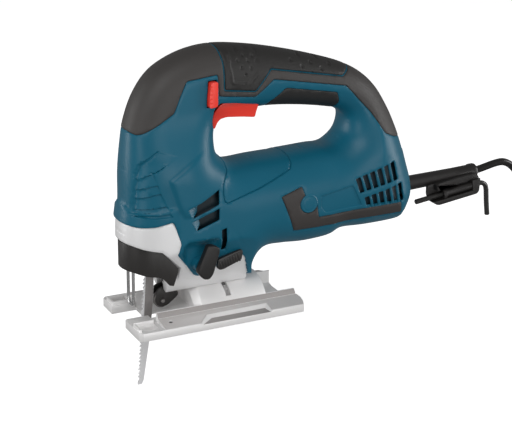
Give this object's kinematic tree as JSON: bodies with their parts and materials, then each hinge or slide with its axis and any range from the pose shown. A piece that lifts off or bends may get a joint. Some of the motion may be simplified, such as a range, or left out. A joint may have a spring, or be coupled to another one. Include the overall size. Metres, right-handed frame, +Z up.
{
  "type": "jigsaw power tool",
  "caption": "Corded jigsaw with a D-shaped top handle, trigger, orbit lever, tilting foot, tool-free blade release, blade, hex key holder and mains cord.",
  "frame": {"origin": "middle of the foot plate, on its sole", "axes": "+X towards the rear of the tool, away from the cut; +Y to its right; +Z up, away from the work"},
  "size_m": [0.4596, 0.097, 0.2558],
  "materials": {
    "housing": "satin moulded",
    "grip": "soft matt overmould",
    "black_plastic": "satin moulded",
    "carbon": "matt",
    "red_plastic": "semi gloss moulded",
    "cast_metal": "satin die cast",
    "steel": "bright",
    "dark_steel": "black oxide",
    "brass": "bright",
    "copper": "turned",
    "cord_rubber": "satin"
  },
  "bodies": {
    "housing": {"bevel_screw": "steel", "brush_holder_left": "brass", "brush_holder_right": "brass", "carbon_brush_left": "carbon", "carbon_brush_right": "carbon", "clamp_washer": "steel", "contact_guard": "steel", "cord": "cord_rubber", "cord_boot": "cord_rubber", "cord_clamp": "black_plastic", "cord_coil": "cord_rubber", "front_bearing": "steel", "gear_housing": "cast_metal", "gear_shaft": "steel", "handle_pad": "grip", "housing_left": "housing", "housing_right": "housing", "housing_screw_1": "steel", "housing_screw_2": "steel", "housing_screw_3": "steel", "housing_screw_4": "steel", "housing_screw_5": "steel", "key_holder": "cord_rubber", "plug": "cord_rubber", "plug_blade_a": "brass", "plug_blade_b": "brass", "plunger_guide_low": "steel", "rear_bearing": "steel", "side_trim_left": "grip", "side_trim_right": "grip", "stator": "steel", "switch_module": "black_plastic", "top_grip": "grip", "trigger_spring": "steel", "under_pad": "grip"},
    "foot": {"foot_plate": "cast_metal"},
    "trigger": {"trigger": "red_plastic"},
    "lock_button": {"lock_button": "red_plastic"},
    "orbit_lever": {"orbit_lever": "black_plastic"},
    "blower_switch": {"blower_switch": "black_plastic"},
    "armature": {"armature_shaft": "steel", "armature_core": "steel", "commutator": "copper", "fan": "black_plastic"},
    "large_gear": {"large_gear": "steel"},
    "plunger": {"plunger": "steel", "blade_clamp": "steel", "blade": "steel"},
    "blade_lever": {"blade_lever": "black_plastic"},
    "roller_fork": {"roller_fork": "black_plastic", "roller_pin": "steel"},
    "guide_roller": {"guide_roller": "steel"},
    "hex_key": {"hex_key": "dark_steel"}
  },
  "joints": [
    {"name": "foot_bevel", "type": "hinge", "parent": "housing", "child": "foot", "pos_m": [0.012, 0, 0], "axis": [1, 0, 0], "range_deg": [-45, 45]},
    {"name": "trigger_pull", "type": "hinge", "parent": "housing", "child": "trigger", "pos_m": [0.038, 0, 0.158], "axis": [0, 1, 0], "range_deg": [0, 6.5], "stiffness_Nm_per_rad": 1, "springref_deg": -5.73, "deforming": ["trigger_spring"]},
    {"name": "lock_button_press", "type": "slide", "parent": "housing", "child": "lock_button", "axis": [0, 1, 0], "range_m": [0, 0.003], "stiffness_N_per_m": 400, "springref_m": -0.004},
    {"name": "orbit_select", "type": "hinge", "parent": "housing", "child": "orbit_lever", "pos_m": [-0.015, -0.027, 0.047], "axis": [0, 1, 0], "range_deg": [-70, 0]},
    {"name": "blower_slide", "type": "slide", "parent": "housing", "child": "blower_switch", "axis": [0.9653, 0, 0.2612], "range_m": [0, 0.004]},
    {"name": "armature_spin", "type": "hinge", "parent": "housing", "child": "armature", "pos_m": [0, 0, 0.083], "axis": [1, 0, 0], "continuous": true},
    {"name": "gear_spin", "type": "hinge", "parent": "housing", "child": "large_gear", "pos_m": [-0.016, 0, 0.107], "axis": [1, 0, 0], "continuous": true},
    {"name": "plunger_stroke", "type": "slide", "parent": "housing", "child": "plunger", "axis": [0, 0, 1], "range_m": [-0.01, 0.01]},
    {"name": "blade_release", "type": "hinge", "parent": "housing", "child": "blade_lever", "pos_m": [-0.03, 0.0231, 0.05], "axis": [0, 0, -1], "range_deg": [0, 25], "stiffness_Nm_per_rad": 0.4, "springref_deg": -11.46},
    {"name": "roller_swing", "type": "hinge", "parent": "housing", "child": "roller_fork", "pos_m": [-0.0236, 0, 0.0216], "axis": [0, 1, 0], "range_deg": [-5, 0]},
    {"name": "roller_spin", "type": "hinge", "parent": "roller_fork", "child": "guide_roller", "pos_m": [-0.0346, 0, 0.0136], "axis": [0, 1, 0], "continuous": true},
    {"name": "hex_key_slide", "type": "slide", "parent": "housing", "child": "hex_key", "axis": [0.9918, 0, 0.1278], "range_m": [0, 0.028]}
  ],
  "couplings": [
    {"joint": "gear_spin", "follows": "armature_spin", "ratio": -0.16667}
  ]
}
